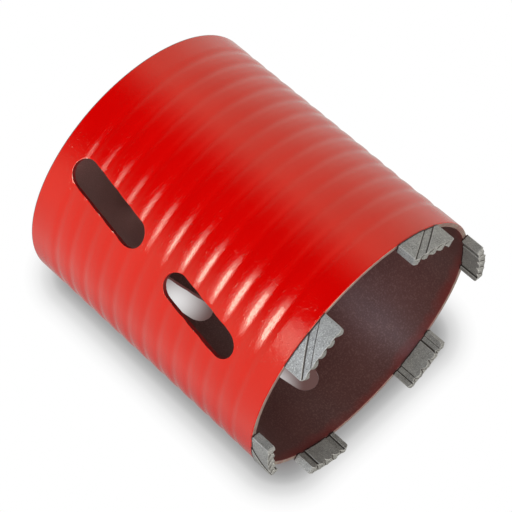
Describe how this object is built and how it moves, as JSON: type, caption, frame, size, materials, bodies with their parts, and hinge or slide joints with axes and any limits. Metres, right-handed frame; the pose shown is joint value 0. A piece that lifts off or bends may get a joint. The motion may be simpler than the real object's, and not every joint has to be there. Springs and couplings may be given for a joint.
{
  "type": "diamond core bit",
  "caption": "Dry diamond core bit: ribbed steel barrel with slanted slots, toothed diamond segments round its mouth and a threaded hub in its back plate.",
  "frame": {"origin": "on the barrel's axis, in the plane of its back rim", "axes": "+Z along the barrel's axis from the back rim to the mouth and its segments; a slot pair faces -Y"},
  "size_m": [0.1146, 0.1146, 0.1276],
  "materials": {
    "barrel_paint": "gloss",
    "plate_paint": "satin",
    "hub_steel": "turned",
    "segment_sinter": "matte"
  },
  "bodies": {
    "root": {"barrel": "barrel_paint", "back_plate": "plate_paint", "hub": "hub_steel", "segment_1": "segment_sinter", "segment_2": "segment_sinter", "segment_3": "segment_sinter", "segment_4": "segment_sinter", "segment_5": "segment_sinter", "segment_6": "segment_sinter"}
  },
  "joints": []
}
